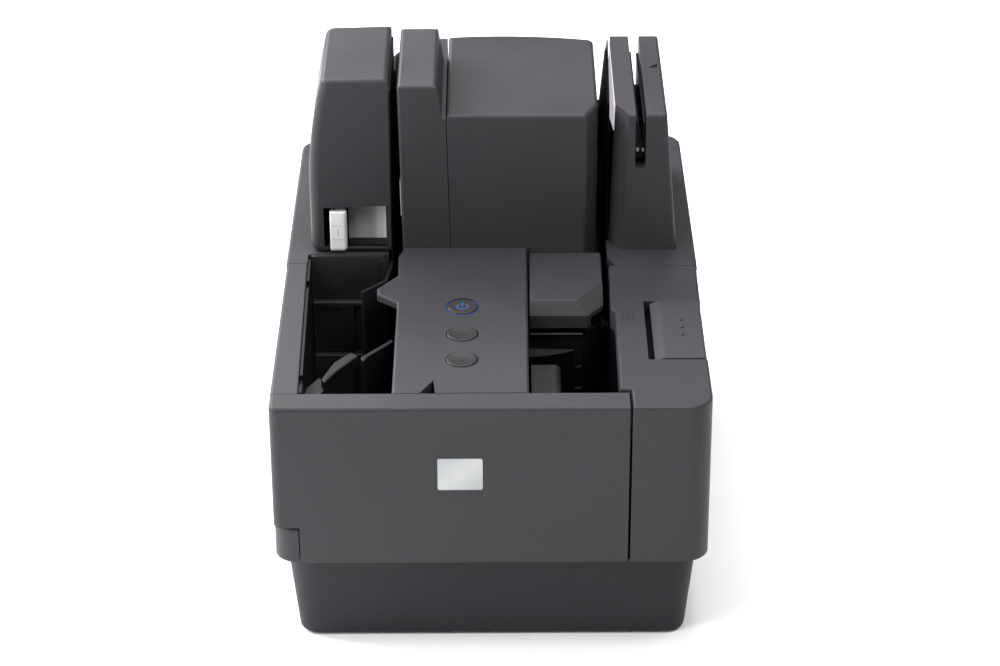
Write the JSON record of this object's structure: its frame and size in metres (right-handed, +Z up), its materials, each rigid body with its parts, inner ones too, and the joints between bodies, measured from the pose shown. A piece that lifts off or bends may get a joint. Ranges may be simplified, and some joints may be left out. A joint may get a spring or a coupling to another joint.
{
  "type": "cheque scanner",
  "caption": "Desktop cheque scanner: hopper on the right, U-shaped document path round a central block, pockets on the left, tilting side covers, drop front panel and a card slot tower",
  "frame": {"origin": "centre of the footprint, on the table", "axes": "+X is the right side with the hopper, +Y is the back, +Z is up"},
  "size_m": [0.2008, 0.29, 0.2219],
  "materials": {
    "body_grey": "fine moulded texture, mid grey",
    "dark_grey": "satin, dark grey",
    "button_grey": "smooth satin, mid grey",
    "base_grey": "fine moulded texture, dark grey",
    "black_inner": "satin black",
    "dark_inner": "satin, charcoal",
    "sensor_black": "polished black",
    "ring_clear": "frosted pale ring",
    "lever_white": "smooth white",
    "foot_rubber": "matt black rubber",
    "belt_rubber": "black belt",
    "roller_rubber": "ground rubber",
    "steel": "turned steel",
    "motor_steel": "plated can",
    "zinc_sheet": "black coated sheet",
    "plate_metal": "bright sheet",
    "badge_metal": "satin pale plate",
    "board_green": "coated circuit board"
  },
  "bodies": {
    "chassis": {"base_pan": "base_grey", "rubber_feet": "foot_rubber", "cover_screws": "steel", "chassis_plate": "zinc_sheet", "door_hinge_pins": "steel", "stub_pins": "steel", "path_floor": "black_inner", "island_frame": "black_inner", "core_frame": "black_inner", "inner_image_sensor": "sensor_black", "micr_head": "steel", "pocket_divider": "dark_inner", "rear_path_guide": "dark_inner", "pocket_back_wall": "black_inner", "pocket_liner": "black_inner", "hopper_rear_wall": "black_inner", "hopper_leaf": "black_inner", "left_front_housing": "body_grey", "left_rear_housing": "body_grey", "rear_cover": "body_grey", "power_inlet": "sensor_black", "usb_port": "steel", "control_panel": "body_grey", "light_ring": "ring_clear", "button_board": "board_green", "hopper_cover": "dark_grey", "middle_cover": "body_grey", "mid_left_cover": "body_grey", "drive_motor": "motor_steel", "drive_belt": "belt_rubber", "main_board": "board_green"},
    "feeder_door": {"feeder_cover": "body_grey", "feeder_inner_wall": "black_inner"},
    "latch": {"latch_knob": "body_grey"},
    "pinch": {"pinch_roller": "roller_rubber"},
    "card_door": {"card_housing": "body_grey", "card_tower": "body_grey", "card_slot_liners": "black_inner", "card_path_guide": "sensor_black"},
    "left_door": {"left_cover": "body_grey", "left_cover_skin": "black_inner", "cartridge_plate": "plate_metal", "window_tray": "black_inner", "ink_cartridge": "black_inner"},
    "lever": {"imprinter_lever": "lever_white"},
    "drop_panel": {"front_panel": "body_grey", "badge_plate": "badge_metal"},
    "power_key": {"power_button": "button_grey"},
    "start_key": {"start_button": "button_grey"},
    "stop_key": {"stop_button": "button_grey"},
    "pusher": {"hopper_pusher": "dark_grey"},
    "outer_flap": {"outer_pocket_flap": "dark_grey"},
    "inner_flap": {"inner_pocket_flap": "dark_grey"},
    "feed": {"feed_shaft": "steel", "feed_roller": "roller_rubber"},
    "exit": {"exit_shaft": "steel", "exit_roller": "roller_rubber"},
    "motor": {"motor_pulley": "steel"}
  },
  "joints": [
    {"name": "feeder_hinge", "type": "hinge", "parent": "chassis", "child": "feeder_door", "pos_m": [0.094, -0.075, 0.053], "axis": [0, 1, 0], "range_deg": [0, 35]},
    {"name": "card_hinge", "type": "hinge", "parent": "chassis", "child": "card_door", "pos_m": [0.094, 0.059, 0.053], "axis": [0, 1, 0], "range_deg": [0, 25]},
    {"name": "left_cover_hinge", "type": "hinge", "parent": "chassis", "child": "left_door", "pos_m": [-0.0844, 0.043, 0.1333], "axis": [0, -1, 0], "range_deg": [0, 40]},
    {"name": "front_panel_hinge", "type": "hinge", "parent": "chassis", "child": "drop_panel", "pos_m": [-0.01, -0.139, 0.056], "axis": [1, 0, 0], "range_deg": [0, 55]},
    {"name": "lever_hinge", "type": "hinge", "parent": "left_door", "child": "lever", "pos_m": [-0.0747, 0.0126, 0.1336], "axis": [1, 0, 0], "range_deg": [0, 30]},
    {"name": "latch_slide", "type": "slide", "parent": "feeder_door", "child": "latch", "axis": [-1, 0, 0], "range_m": [0, 0.0026], "stiffness_N_per_m": 300, "springref_m": -0.001},
    {"name": "power_press", "type": "slide", "parent": "chassis", "child": "power_key", "axis": [0, 0, -1], "range_m": [0, 0.0012], "stiffness_N_per_m": 600, "springref_m": -0.001},
    {"name": "start_press", "type": "slide", "parent": "chassis", "child": "start_key", "axis": [0, 0, -1], "range_m": [0, 0.0012], "stiffness_N_per_m": 600, "springref_m": -0.001},
    {"name": "stop_press", "type": "slide", "parent": "chassis", "child": "stop_key", "axis": [0, 0, -1], "range_m": [0, 0.0012], "stiffness_N_per_m": 600, "springref_m": -0.001},
    {"name": "pusher_slide", "type": "slide", "parent": "chassis", "child": "pusher", "axis": [1, 0, 0], "range_m": [0, 0.018]},
    {"name": "outer_flap_swing", "type": "hinge", "parent": "chassis", "child": "outer_flap", "pos_m": [-0.08, -0.107, 0.094], "axis": [0, 0, 1], "range_deg": [0, 15], "stiffness_Nm_per_rad": 0.003, "springref_deg": -5.73},
    {"name": "inner_flap_swing", "type": "hinge", "parent": "chassis", "child": "inner_flap", "pos_m": [-0.0474, -0.066, 0.094], "axis": [0, 0, 1], "range_deg": [0, 20], "stiffness_Nm_per_rad": 0.002, "springref_deg": -5.73},
    {"name": "feed_spin", "type": "hinge", "parent": "chassis", "child": "feed", "pos_m": [0.0442, -0.025, 0.089], "axis": [0, 0, 1], "continuous": true},
    {"name": "exit_spin", "type": "hinge", "parent": "chassis", "child": "exit", "pos_m": [-0.036, 0.015, 0.089], "axis": [0, 0, 1], "continuous": true},
    {"name": "motor_spin", "type": "hinge", "parent": "chassis", "child": "motor", "pos_m": [0, 0.061, 0.049], "axis": [0, 0, 1], "continuous": true},
    {"name": "pinch_spin", "type": "hinge", "parent": "feeder_door", "child": "pinch", "pos_m": [0.0606, -0.025, 0.092], "axis": [0, 0, 1], "continuous": true}
  ],
  "couplings": [
    {"joint": "exit_spin", "follows": "feed_spin", "ratio": 1},
    {"joint": "motor_spin", "follows": "feed_spin", "ratio": 1.3333},
    {"joint": "pinch_spin", "follows": "feed_spin", "ratio": -2.2}
  ]
}
